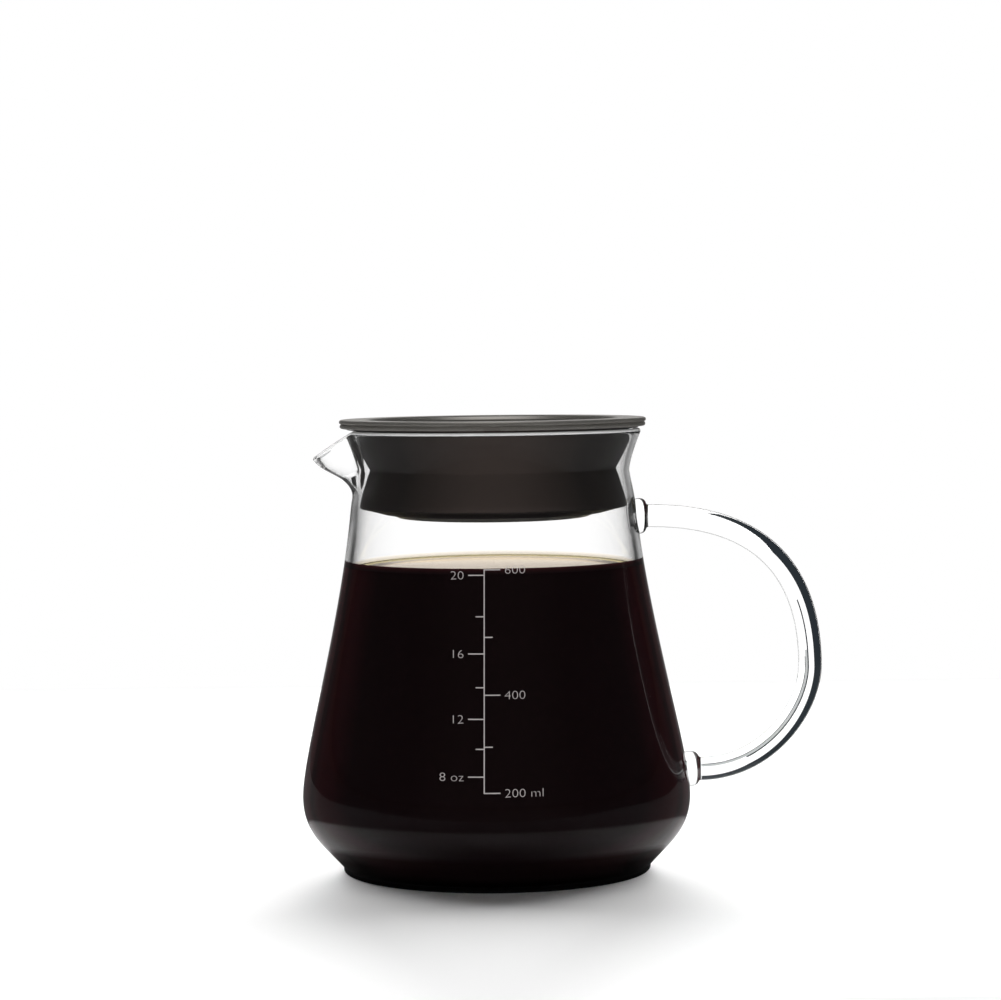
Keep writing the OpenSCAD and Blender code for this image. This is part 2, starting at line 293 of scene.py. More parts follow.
def lip_painted_highlight():
    """The melted edge of the glass, with a painted highlight: a pale band along its rim, mostly not
    clear, that stands in for the light it gathers from the wall.
    """
    material, tree = new_material("lip_painted_highlight")
    shader = add_node(
        tree,
        "BsdfPrincipled",
        Base_Color=grey(0.9),
        Roughness=0.15,
        IOR=GLASS_IOR,
        Transmission_Weight=0.1,
    )
    add_node(tree, "OutputMaterial", Surface=clear_shadow(tree, shader))
    return material


def bezier(a, b, c, d, steps):
    """Points of a cubic curve, as (radius, height) vectors."""
    points = []
    for i in range(steps + 1):
        t = i / steps
        s = 1 - t
        points.append(s**3 * a + 3 * s * s * t * b + 3 * s * t * t * c + t**3 * d)
    return points


def chain(*curves):
    """Points of cubic curves that follow each other, each given as four corners and its steps."""
    points = [curves[0][0]]
    for curve in curves:
        points += bezier(*curve)[1:]
    return points


def arc(centre, radius, start, end, steps):
    """Points of an arc, with angles in degrees from +r towards +z."""
    angles = [math.radians(start + (end - start) * i / steps) for i in range(steps + 1)]
    return [centre + radius * Vector((math.cos(a), math.sin(a))) for a in angles]


def mix(a, b, share):
    return a + (b - a) * share


def smooth(value):
    u = min(1.0, max(0.0, value))
    return u * u * (3 - 2 * u)


def heading(points, i):
    """Direction of a polyline at point i."""
    return (points[min(i + 1, len(points) - 1)] - points[max(i - 1, 0)]).normalized()


def right_of(direction):
    return Vector((direction.y, -direction.x))


def at_height(points, z):
    """Radius of an outline at a height, where its heights rise from point to point."""
    for low, high in zip(points, points[1:]):
        if low.y <= z <= high.y:
            return mix(low.x, high.x, (z - low.y) / max(high.y - low.y, LEAST_RISE))
    return points[0].x if z < points[0].y else points[-1].x


class JugShape:
    """Outline of the jug: outer curve, inner curve, lip and beak, as the CAD part draws them."""

    CURVE_STEPS = 28
    NECK_STEPS = 14
    LIP_STEPS = 12
    # How far the outer curves are pulled at their lower and upper ends, as shares of their heights
    SHOULDER_PULL_SHARES = (0.28, 0.5)
    CONE_PULL_SHARES = (0.14, 0.39)
    NECK_PULL_SHARES = (0.33, 0.12)
    FLARE_PULL_SHARE = 0.2
    # Rise per way out where the shoulder starts, and way out per rise at the cone's end and the lip
    SHOULDER_SLOPE = 1.14
    CONE_END_SLOPE = -0.1
    LIP_SLOPE = 0.44
    # Share of the beak's height at which it has all its reach, and how its dip grows with height
    BEAK_FULL_SHARE = 0.85
    BEAK_DROP_POWER = 1.5

    def __init__(self, size):
        self.size = size
        self.neck_z = size.belly_height + size.cone_height
        self.waist_z = self.neck_z + size.neck_height
        self.lip_z = jug_high.z
        waist_r = size.neck_radius - size.neck_draw
        lip_r = waist_r + size.lip_flare
        lip_way = Vector((self.LIP_SLOPE, 1))
        self.lip_end_z = self.lip_z - size.lip_thickness / 2 * (1 + lip_way.normalized().x)
        self.flare_h = self.lip_end_z - self.waist_z
        self.beak_z = self.lip_z - size.beak_height
        self.thin_z = self.neck_z - size.neck_height
        foot = Vector((size.foot_radius, size.foot_height))
        belly = Vector((size.belly_radius, size.belly_height))
        neck = Vector((size.neck_radius, self.neck_z))
        waist = Vector((waist_r, self.waist_z))
        lip = Vector((lip_r, self.lip_end_z))
        up = Vector((0, 1))
        foot_way = Vector((1, self.SHOULDER_SLOPE))
        cone_way = Vector((self.CONE_END_SLOPE, 1))
        foot_pull, shoulder_pull = (share * (belly.y - foot.y) for share in self.SHOULDER_PULL_SHARES)
        belly_pull, cone_pull = (share * size.cone_height for share in self.CONE_PULL_SHARES)
        neck_pull, waist_pull = (share * size.neck_height for share in self.NECK_PULL_SHARES)
        flare_pull = self.FLARE_PULL_SHARE * self.flare_h
        self.outer = chain(
            (foot, foot + foot_pull * foot_way, belly - shoulder_pull * up, belly, self.CURVE_STEPS),
            (belly, belly + belly_pull * up, neck - cone_pull * cone_way, neck, self.CURVE_STEPS),
            (neck, neck + neck_pull * cone_way, waist - waist_pull * up, waist, self.NECK_STEPS),
            (waist, waist + flare_pull * up, lip - size.lip_curl * lip_way, lip, self.NECK_STEPS),
        )
        whole_inner = [
            p - self.wall_at(p.y) * right_of(heading(self.outer, i)) for i, p in enumerate(self.outer)
        ]
        self.inner = [p for p in whole_inner if p.y > size.floor + size.wall / 2]

    def wall_at(self, z):
        """Thickness of the wall at a height."""
        size = self.size
        if z < self.waist_z:
            share = smooth((z - self.thin_z) / (self.waist_z - self.thin_z))
            return mix(size.wall, size.neck_wall, share)
        return mix(size.neck_wall, size.lip_thickness, smooth((z - self.waist_z) / self.flare_h))

    def foot_profile(self):
        """Underside and rounded edge of the foot, from the axis."""
        size = self.size
        centre = Vector((size.foot_radius - size.foot_edge, size.foot_edge))
        return [Vector((0, 0))] + arc(centre, size.foot_edge, -90, 0, self.LIP_STEPS)

    def lip_arc(self):
        """Fire-polished half round over the end of the wall."""
        way = heading(self.outer, len(self.outer) - 1)
        centre = (self.outer[-1] + self.inner[-1]) / 2
        radius = self.size.lip_thickness / 2
        angles = [math.pi * i / self.LIP_STEPS for i in range(1, self.LIP_STEPS)]
        return [centre + radius * (math.cos(a) * right_of(way) + math.sin(a) * way) for a in angles]

    def floor_profile(self):
        """Inner floor, from the wall's foot to the axis."""
        size = self.size
        wall_foot = self.inner[0]
        start = Vector((wall_foot.x - size.floor_blend, size.floor))
        curve = bezier(
            start,
            start + Vector((size.floor_blend / 2, 0)),
            wall_foot - size.floor_blend / 4 * heading(self.inner, 0),
            wall_foot,
            self.LIP_STEPS,
        )
        return curve[-2::-1] + [Vector((0, size.floor))]

    def place(self, point, angle):
        """The point of the jug at an angle from the beak, pushed out and down into the beak."""
        size = self.size
        window = math.cos(math.pi / 2 * min(1, abs(angle) / size.beak_half_angle)) ** 2
        rise = self.lip_end_z - self.beak_z
        push = smooth((point.y - self.beak_z) / (self.BEAK_FULL_SHARE * rise))
        drop = min(1, max(0, (point.y - self.beak_z) / rise)) ** self.BEAK_DROP_POWER
        r = point.x + size.beak_reach * push * window
        z = point.y - size.beak_dip * drop * window
        return Vector((-r * math.cos(angle), -r * math.sin(angle), z))


def new_piece(name, vertices, faces, materials, slots=None):
    """A smooth mesh object in the row frame, with a material slot per face."""
    mesh = bpy.data.meshes.new(name)
    mesh.from_pydata([tuple(v) for v in vertices], [], faces)
    for material in materials:
        mesh.materials.append(material)
    if slots:
        mesh.polygons.foreach_set("material_index", slots)
    mesh.shade_smooth()
    mesh.update()
    piece = bpy.data.objects.new(name, mesh)
    bpy.context.scene.collection.objects.link(piece)
    return piece


def bands(rings, columns, looped=False):
    """Quads between the rings of a tube, whose points follow each other ring by ring."""
    faces = []
    for i in range(rings if looped else rings - 1):
        here = i * columns
        above = (i + 1) % rings * columns
        for j in range(columns):
            k = (j + 1) % columns
            faces.append((here + j, here + k, above + k, above + j))
    return faces


def revolve(name, profile, columns, materials, place=None, slots=None, looped=False):
    """Turns a profile of (radius, height) points about the Z axis. A profile starts and ends on the
    axis, or is a closed loop. place gives the point at an angle, slots a material slot per step."""
    place = place or (lambda p, a: Vector((p.x * math.cos(a), p.x * math.sin(a), p.y)))
    slots = slots or [0] * len(profile)
    angles = [2 * math.pi * j / columns - math.pi for j in range(columns)]
    rings = profile if looped else profile[1:-1]
    vertices = [place(p, a) for p in rings for a in angles]
    faces = bands(len(rings), columns, looped)
    face_slots = [slots[i // columns] for i in range(len(faces))]
    if not looped:
        low_pole, high_pole = len(vertices), len(vertices) + 1
        last = len(vertices) - columns
        vertices += [Vector((0, 0, profile[0].y)), Vector((0, 0, profile[-1].y))]
        for j in range(columns):
            k = (j + 1) % columns
            faces += [(low_pole, k, j), (high_pole, last + j, last + k)]
            face_slots += [slots[0], slots[-1]]
    return new_piece(name, vertices, faces, materials, face_slots)


def outward(piece):
    """Turns every face of a closed mesh outward."""
    shape = bmesh.new()
    shape.from_mesh(piece.data)
    bmesh.ops.recalc_face_normals(shape, faces=shape.faces)
    shape.to_mesh(piece.data)
    shape.free()
    return piece


class HandleShape:
    """Centre line and radii of the rod handle, from gather to gather, as the CAD part draws it."""

    RINGS, GATHER_RINGS, SIDES = 120, 18, 64
    # Middle corners of the rod's curves: shares of the upper one's way out and up, and of the lower
    # one's way down and out
    TOP_PULL_SHARES = (0.72, 0.6)
    LOW_PULL_SHARES = (0.42, 0.6)
    # The collar of a gather: three radii as shares of the gather's, the places of its last three
    # corners along the gather, and how far its end still stands off the rod
    COLLAR_RADII = (0.95, 1.08, 0.98)
    COLLAR_PLACES = (0.3, 0.66, 0.78)
    COLLAR_END = 0.28
    # Places of the throat's middle corners along the gather
    THROAT_PLACES = (0.83, 0.92)

    def __init__(self, jug, size):
        self.size = size
        top_r, low_r = size.rod_top / 2, size.rod / 2
        top_z, low_z = rod_high.z - top_r, rod_low.z + low_r
        far = Vector((rod_high.x - low_r, low_z + size.grip_rise))
        wall_top, wall_low = at_height(jug.outer, top_z), at_height(jug.outer, low_z)
        start = Vector((wall_top + size.gather_top, top_z))
        end = Vector((wall_low + size.gather_low, low_z))
        top = Vector((mix(start.x, far.x, self.TOP_PULL_SHARES[0]), top_z))
        above = Vector((far.x, mix(far.y, top_z, self.TOP_PULL_SHARES[1])))
        below = Vector((far.x, mix(far.y, low_z, self.LOW_PULL_SHARES[0])))
        low = Vector((mix(end.x, far.x, self.LOW_PULL_SHARES[1]), low_z))
        self.rod = chain((start, top, above, far, self.RINGS), (far, below, low, end, self.RINGS))
        rod_radii = [mix(top_r, low_r, smooth(i / self.RINGS)) for i in range(len(self.rod))]
        first, first_radii = self.gather(wall_top, top_z, top_r, size.gather_top)
        last, last_radii = self.gather(wall_low, low_z, low_r, size.gather_low)
        self.path = first + self.rod + last[::-1]
        self.radii = first_radii + rod_radii + last_radii[::-1]
        self.ways = [Vector((1, 0))] * (len(first) + 1)
        self.ways += [heading(self.rod, i) for i in range(1, len(self.rod) - 1)]
        self.ways += [Vector((-1, 0))] * (len(last) + 1)

    def gather(self, wall_x, z, rod_r, reach):
        """Rings from inside the wall out to the rod: a rounded collar, then a short throat."""
        root_r, swell_r, fall_r = (self.size.gather * share for share in self.COLLAR_RADII)
        swell_x, fall_x, collar_x = (reach * share for share in self.COLLAR_PLACES)
        throat_x, rod_x = (reach * share for share in self.THROAT_PLACES)
        root = Vector((-self.size.root, root_r))
        collar_end = Vector((collar_x, mix(rod_r, self.size.gather, self.COLLAR_END)))
        rod_start = Vector((reach, rod_r))
        count = self.GATHER_RINGS
        rings = chain(
            (root, Vector((swell_x, swell_r)), Vector((fall_x, fall_r)), collar_end, count),
            (collar_end, Vector((throat_x, rod_r)), Vector((rod_x, rod_r)), rod_start, count // 2),
        )[:-1]
        return [Vector((wall_x + p.x, z)) for p in rings], [p.y for p in rings]

    def mesh(self, materials, slot):
        """The rod and its gathers as one closed tube."""
        sides = self.SIDES
        vertices = []
        for p, r, way in zip(self.path, self.radii, self.ways):
            side = right_of(way)
            for k in range(sides):
                a = 2 * math.pi * k / sides
                reach = r * math.cos(a)
                vertices.append(Vector((p.x + reach * side.x, r * math.sin(a), p.y + reach * side.y)))
        last = len(vertices) - sides
        faces = [tuple(range(sides - 1, -1, -1))]
        faces += bands(len(self.path), sides)
        faces.append(tuple(range(last, last + sides)))
        return outward(new_piece("handle_tool", vertices, faces, materials, [slot] * len(faces)))


def fuse(base, tool):
    """Joins tool to base as one skin and removes tool."""
    joint = base.modifiers.new("Fused", "BOOLEAN")
    joint.operation = "UNION"
    joint.solver = "EXACT"
    joint.object = tool
    fused = bpy.data.meshes.new_from_object(base.evaluated_get(bpy.context.evaluated_depsgraph_get()))
    base.modifiers.clear()
    base.data = fused
    bpy.data.objects.remove(tool)
    if not fused.polygons:
        raise RuntimeError(f"{base.name}: the handle could not be fused to the wall")


class SERVER_OT_glass_jug(bpy.types.Operator):
    """Blow the jug and fuse the rod handle to it with a gather at each end"""

    bl_idname = "server.glass_jug"
    bl_label = "Glass Jug"
    COLUMNS = 288
    GLASS_CREASE = math.radians(38)
    OUTER, INNER, ROD, LIP = range(4)
    # The mouth's painted shade has taken over this far below the waist
    MOUTH_BLEND = 5 * MM
    # Part of the lip's half round that carries the painted highlight, from its outer to its inner side
    LIP_HIGHLIGHT_SHARES = (0.05, 0.85)
    # Painted shade, from face on to edge on. Where the eye looks along the wall, the inner face sends it
    # far to the side, so a dark line is painted just inside the outline, with the glass's lighter skin
    # beside it
    CONE_PAINTED_SHADE = greys(
        (0.52, 1.0),
        (0.58, 0.9),
        (0.62, 0.7),
        (0.655, 0.3),
        (0.68, 0.1),
        (0.72, 0.1),
        (0.75, 0.45),
        (0.8, 0.75),
        (1.0, 0.85),
    )
    MOUTH_PAINTED_SHADE = greys((0.55, 1.0), (0.72, 0.9), (0.78, 0.6), (0.84, 0.8), (1.0, 0.9))
    INNER_PAINTED_SHADE = greys((0.0, 1.0), (1.0, 0.97))
    ROD_PAINTED_SHADE = greys((0.5, 1.0), (0.8, 0.75), (1.0, 0.25))

    def execute(self, context):
        jug = JugShape(context.scene.server_jug)
        materials = [
            borosilicate(
                "blown_borosilicate_outer",
                self.CONE_PAINTED_SHADE,
                upper_stops=self.MOUTH_PAINTED_SHADE,
                upper_heights=(jug.thin_z, jug.waist_z - self.MOUTH_BLEND),
                foot_heights=(jug.size.foot_height, jug.size.floor),
            ),
            borosilicate("blown_borosilicate_inner", self.INNER_PAINTED_SHADE),
            borosilicate("drawn_borosilicate_rod", self.ROD_PAINTED_SHADE),
            lip_painted_highlight(),
        ]
        outer = jug.foot_profile() + jug.outer
        lip = jug.lip_arc()
        inner = jug.inner[::-1] + jug.floor_profile()
        highlight_from, highlight_to = (share * len(lip) for share in self.LIP_HIGHLIGHT_SHARES)
        slots = [self.OUTER] * (len(outer) - 1)
        slots += [self.LIP if highlight_from <= i <= highlight_to else self.OUTER for i in range(len(lip))]
        slots += [self.INNER] * len(inner)
        piece = revolve("glass_server", outer + lip + inner, self.COLUMNS, materials, jug.place, slots)
        outward(piece)
        handle = HandleShape(jug, context.scene.server_handle)
        fuse(piece, handle.mesh(materials, self.ROD))
        piece.data.shade_smooth()
        piece.data.set_sharp_from_angle(angle=self.GLASS_CREASE)
        # The glass takes no light away from the floor around it
        piece.visible_diffuse = False
        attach(piece, "jug")
        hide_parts("glass_jug", "handle_rod", "handle_weld_upper", "handle_weld_lower")
        return {"FINISHED"}


# Turns of the coffee's side, from face on, at which it has its three colours, the outer two painted
# light that gets past its side, and the heights between which they come up out of the colour in depth
SIDE_TURNS = (0.16, 0.235, 0.29)
SIDE_HEIGHTS = (5 * MM, 14 * MM)
# Radius of the near wall at the coffee's surface, the distances from that wall between which the
# painted reflection on the surface changes its tone, and the tones: grey near that wall, cream further back
NEAR_WALL_RADIUS = 39.6 * MM
SURFACE_DISTANCES = (28 * MM, 54 * MM)
SURFACE_PAINTED_REFLECTION = ((0.0, "#56524F"), (0.2, "#635B59"), (0.38, "#857B79"), (0.6, "#B4A9A3"), (0.9, "#D2C2AC"))
# Turns between which the surface goes from its own colour to that painted reflection
PAINTED_REFLECTION_TURNS = greys((0.75, 0.0), (0.93, 1.0))
# Places of a film's three tints up the wall, and the share of the upper tint in the middle one
FILM_PLACES = (0.2, 0.6, 1.0)
FILM_MIDDLE_SHARE = 0.3


def brewed_coffee(size):
    """Filter coffee: all but black in depth, and painted dark red where the eye looks along its side,
    for the little light that gets past it there. It has no gloss of its own, because the glass that
    it wets has it."""
    material, tree = new_material("brewed_coffee")
    facing = add_node(tree, "LayerWeight", output="Facing")
    stops = list(zip(SIDE_TURNS, (size.body, size.edge, size.skin)))
    side = add_node(tree, "ValToRGB", stops=stops, Fac=facing)
    share = height_share(tree, *SIDE_HEIGHTS)
    tint = add_node(tree, "Mix", {0: share, FIRST: size.body, SECOND: side}, **OF_COLOURS)
    shader = add_node(tree, "BsdfPrincipled", Base_Color=tint, Roughness=0.3, Specular_IOR_Level=0.0)
    add_node(tree, "OutputMaterial", Surface=shader)
    return material


def coffee_surface(size):
    """The still, level surface: a black mirror from above, and at a low angle a painted reflection of
    the jug's wall, cream further back and grey where it shows the near wall."""
    material, tree = new_material("still_coffee_surface")
    place = add_node(tree, "TexCoord", output="Object")
    x = add_node(tree, "SeparateXYZ", output="X", Vector=place)
    y = add_node(tree, "SeparateXYZ", output="Y", Vector=place)
    # How far the place is behind the near wall, which is round
    squared = add_node(tree, "Math", {0: x, 1: x}, operation="MULTIPLY")
    left = add_node(tree, "Math", {0: NEAR_WALL_RADIUS**2, 1: squared}, operation="SUBTRACT")
    half = add_node(tree, "Math", {0: left}, operation="SQRT")
    away = add_node(tree, "Math", {0: y, 1: half}, operation="ADD")
    near, far = SURFACE_DISTANCES
    share = add_node(tree, "MapRange", Value=away, From_Min=near, From_Max=far)
    tones = [(distance, linear(tone)) for distance, tone in SURFACE_PAINTED_REFLECTION]
    painted_reflection = add_node(tree, "ValToRGB", stops=tones, Fac=share)
    facing = add_node(tree, "LayerWeight", output="Facing")
    turned = add_node(tree, "ValToRGB", stops=PAINTED_REFLECTION_TURNS, Fac=facing)
    tint = add_node(tree, "Mix", {0: turned, FIRST: size.body, SECOND: painted_reflection}, **OF_COLOURS)
    shader = add_node(tree, "BsdfPrincipled", Base_Color=tint, Roughness=0.02, IOR=COFFEE_IOR)
    add_node(tree, "OutputMaterial", Surface=shader)
    return material


def coffee_film(name, size, low, high, cover_stops, light_stops):
    """The thin edge of the coffee on the wall. Where it hides the wall, its pale colour is partly its
    own and partly painted light for the white behind it, which shows through more and more where
    it runs out, and its back can't be seen."""
    material, tree = new_material(name)
    share = height_share(tree, size.level, size.level + size.creep)
    middle = mix(Vector(low), Vector(high), FILM_MIDDLE_SHARE)
    stops = list(zip(FILM_PLACES, (low, middle, high)))
    body = add_node(
        tree,
        "BsdfPrincipled",
        Base_Color=add_node(tree, "ValToRGB", stops=stops, Fac=share),
        Roughness=0.3,
        IOR=COFFEE_IOR,
        Specular_IOR_Level=0.1,
    )
    cover = add_node(tree, "ValToRGB", stops=cover_stops, Fac=share)
    tint = add_node(tree, "ValToRGB", stops=light_stops, Fac=share)
    light = add_node(tree, "BsdfTransparent", Color=tint)
    film = add_node(tree, "MixShader", {0: cover, 1: light, 2: body})
    back = add_node(tree, "NewGeometry", output="Backfacing")
    clear = add_node(tree, "BsdfTransparent")
    shader = add_node(tree, "MixShader", {0: back, 1: film, 2: clear})
    add_node(tree, "OutputMaterial", Surface=shader)
    return material


class SERVER_OT_coffee(bpy.types.Operator):
    """Fill the jug with coffee to just under the neck"""

    bl_idname = "server.coffee"
    bl_label = "Coffee"
    COLUMNS = 192
    SURFACE_STEPS = 6
    MENISCUS_STEPS = 8
    # The curved edge falls steeply to this share of its height, then runs out from this share of
    # its width
    MENISCUS_SHARES = (0.3, 0.45)
    SIDE, FILM, SURFACE, WALL_FILM = range(4)
    # Share of the climbing edge that is still dark
    DARK_SHARE = 0.1
    # How much of the edge hides what is behind it, and the light that it lets through, up the wall
    FILM_COVER = greys((0.06, 1.0), (0.2, 0.0))
    FILM_LIGHT = (
        (0.06, (0.5, 0.44, 0.3)),
        (0.22, (0.66, 0.6, 0.47)),
        (0.39, (0.82, 0.75, 0.64)),
        (0.55, (0.93, 0.87, 0.78)),
        (0.83, WHITE),
    )
    WALL_COVER = greys((0.95, 1.0), (1.0, 0.7))
    WALL_LIGHT = greys((0.0, 1.0), (1.0, 1.0))

    def execute(self, context):
        size = context.scene.server_coffee
        jug = JugShape(context.scene.server_jug)
        side = [
            p + size.contact * right_of(heading(jug.inner, i))
            for i, p in enumerate(jug.inner)
            if p.y < size.level
        ]
        dark_z = size.level + size.creep * self.DARK_SHARE
        top_z = size.level + size.creep
        top_r = at_height(jug.inner, top_z) + size.contact
        side.append(Vector((at_height(jug.inner, dark_z) + size.contact, dark_z)))
        side.append(Vector((top_r, top_z)))
        floor = [Vector((p.x, p.y - size.contact)) for p in jug.floor_profile()[::-1]]
        edge_r = top_r - size.meniscus
        steep_share, flat_share = self.MENISCUS_SHARES
        meniscus = bezier(
            side[-1],
            Vector((top_r - 2 * size.contact, size.level + size.creep * steep_share)),
            Vector((mix(edge_r, top_r, flat_share), size.level)),
            Vector((edge_r, size.level)),
            self.MENISCUS_STEPS,
        )[1:]
        surface = [
            Vector((edge_r * (1 - i / self.SURFACE_STEPS), size.level))
            for i in range(1, self.SURFACE_STEPS + 1)
        ]
        # A step joins two rings. The point on the axis isn't one, and the side's last step is film
        slots = [self.SIDE] * (len(floor) + len(side) - 3) + [self.WALL_FILM]
        slots += [self.FILM] * len(meniscus) + [self.SURFACE] * len(surface)
        materials = [
            brewed_coffee(size),
            coffee_film("thin_coffee_film", size, size.rim, size.film, self.FILM_COVER, self.FILM_LIGHT),
            coffee_surface(size),
            coffee_film("coffee_film_on_wall", size, size.body, size.skin, self.WALL_COVER, self.WALL_LIGHT),
        ]
        profile = floor + side + meniscus + surface
        piece = outward(revolve("coffee_fill", profile, self.COLUMNS, materials, slots=slots))
        piece.data.set_sharp_from_angle(angle=CREASE)
        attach(piece, "jug")
        return {"FINISHED"}


# How deep the grain of a fired or moulded surface is
GRAIN_DEPTH = 0.01 * MM


def grain(tree, width, detail, strength):
    """Normals of a surface with an even grain of the given width."""
    height = add_node(tree, "TexNoise", Scale=1 / width, Detail=detail)
    return add_node(tree, "Bump", Height=height, Strength=strength, Distance=GRAIN_DEPTH)


def fired_enamel(size):
    """Screen-printed enamel, fired onto the glass: an even, matt light grey."""
    material, tree = new_material("fired_enamel_print")
    normal = grain(tree, width=0.4 * MM, detail=2.0, strength=0.1)
    shader = add_node(tree, "BsdfPrincipled", Base_Color=size.ink, Normal=normal, Roughness=0.6)
    add_node(tree, "OutputMaterial", Surface=shader)
    return material


class SERVER_OT_volume_scale(bpy.types.Operator):
    """Print the volume scale on the front of the jug: one line, ticks and plain numbers"""

    bl_idname = "server.volume_scale"
    bl_label = "Volume Scale"
    # Heights of the ticks in millimetres, with the text beside a numbered one
    LEFT_TICKS = (
        (86.7, "20"),
        (75.6, ""),
        (65.7, "16"),
        (56.75, ""),
        (48.4, "12"),
        (40.5, ""),
        (33.2, "8 oz"),
    )
    RIGHT_TICKS = ((88.15, "600"), (70.1, ""), (54.75, "400"), (41.05, ""), (28.9, "200 ml"))
    # Longest quad, short enough for a row of them to follow the wall
    STEP = 1.2 * MM
    # Underside and face of the print, as shares of how far it stands off the glass
    LIFT_SHARES = (0.1, 1.0)
    # Height of a digit as a share of the type's size, and how much wider and thinner it is printed
    CAP_SHARE = 0.73
    WIDTH_SHARE = 1.19
    THINNING = 0.07 * MM
    CURVE_RESOLUTION = 4
    # How far the middle of a word is below its tick
    TEXT_DROP = 0.15 * MM
    MERGE_DISTANCE = 1e-7

    def slab(self, shape, jug, size, outline_faces):
        """Lays flat faces, given as corners in the front view, on the outer wall."""
        for corners in outline_faces:
            rows = []
            for share in self.LIFT_SHARES:
                row = []
                for x, z in corners:
                    r = at_height(jug.outer, z) + size.proud * share
                    row.append(shape.verts.new((x, -math.sqrt(r * r - x * x), z)))
                rows.append(row)
            low, high = rows
            shape.faces.new(high)
            shape.faces.new(low[::-1])
            for i in range(len(corners)):
                k = (i + 1) % len(corners)
                shape.faces.new((low[i], low[k], high[k], high[i]))

    def bar(self, x0, x1, z0, z1):
        """A bar as a grid of quads."""
        nx = max(1, math.ceil((x1 - x0) / self.STEP))
        nz = max(1, math.ceil((z1 - z0) / self.STEP))
        xs = [mix(x0, x1, i / nx) for i in range(nx + 1)]
        zs = [mix(z0, z1, i / nz) for i in range(nz + 1)]
        return [
            ((xs[i], zs[k]), (xs[i + 1], zs[k]), (xs[i + 1], zs[k + 1]), (xs[i], zs[k + 1]))
            for i in range(nx)
            for k in range(nz)
        ]

    def text(self, body, anchor, size):
        """Triangles of a word in the front view, one digit height tall, from the line outward."""
        curve = bpy.data.curves.new("scale_text", "FONT")
        curve.body = body
        curve.align_x = anchor
        curve.align_y = "CENTER"
        curve.size = size.digit / self.CAP_SHARE
        curve.resolution_u = self.CURVE_RESOLUTION
        curve.offset = -self.THINNING
        word = bpy.data.objects.new("scale_text", curve)
        bpy.context.scene.collection.objects.link(word)
        mesh = bpy.data.meshes.new_from_object(word.evaluated_get(bpy.context.evaluated_depsgraph_get()))
        mesh.calc_loop_triangles()
        corners = [
            [(mesh.vertices[i].co.x * self.WIDTH_SHARE, mesh.vertices[i].co.y) for i in triangle.vertices]
            for triangle in mesh.loop_triangles
        ]
        bpy.data.meshes.remove(mesh)
        bpy.data.objects.remove(word)
        return corners

    def execute(self, context):
        size = context.scene.server_scale
        jug = JugShape(context.scene.server_jug)
        top = self.RIGHT_TICKS[0][0] * MM
        low = self.RIGHT_TICKS[-1][0] * MM
        half = size.stroke / 2

        def line_x(z):
            return size.offset + size.lean * ((top + low) / 2 - z) / (top - low)

        shape = bmesh.new()
        column = [
            [(x + line_x(z) - size.offset, z) for x, z in quad]
            for quad in self.bar(size.offset - half, size.offset + half, low - half, top + half)
        ]
        self.slab(shape, jug, size, column)
        for ticks, way, anchor in ((self.LEFT_TICKS, -1, "RIGHT"), (self.RIGHT_TICKS, 1, "LEFT")):
            for height, label in ticks:
                z = height * MM
                start = line_x(z) + way * half
                end = line_x(z) + way * (size.major if label else size.minor)
                self.slab(shape, jug, size, self.bar(min(start, end), max(start, end), z - half, z + half))
                if label:
                    x = line_x(z) + way * size.text_gap
                    y = z - self.TEXT_DROP
                    letters = [[(x + u, y + v) for u, v in face] for face in self.text(label, anchor, size)]
                    self.slab(shape, jug, size, letters)
        bmesh.ops.remove_doubles(shape, verts=shape.verts, dist=self.MERGE_DISTANCE)
        mesh = bpy.data.meshes.new("volume_scale")
        shape.to_mesh(mesh)
        shape.free()
        mesh.materials.append(fired_enamel(size))
        piece = bpy.data.objects.new("volume_scale", mesh)
        context.scene.collection.objects.link(piece)
        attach(piece, "jug")
        return {"FINISHED"}


def moulded_silicone(size):
    """Compression-moulded silicone: dark, smooth, a soft sheen and a trace of grain, with painted shade
    where it turns away from the eye.
    """
    material, tree = new_material("moulded_silicone")
    facing = add_node(tree, "LayerWeight", output="Facing")
    half = mix(Vector(size.silicone), Vector(size.shade), 0.5)
    # Painted shade towards the sides
    stops = [(0.0, size.silicone), (0.12, half), (0.3, size.shade)]
    shader = add_node(
        tree,
        "BsdfPrincipled",
        Base_Color=add_node(tree, "ValToRGB", stops=stops, Fac=facing),
        Normal=grain(tree, width=0.8 * MM, detail=3.0, strength=0.03),
        Roughness=0.4,
        IOR=1.41,
        Specular_IOR_Level=0.3,
    )
    add_node(tree, "OutputMaterial", Surface=shader)
    return material


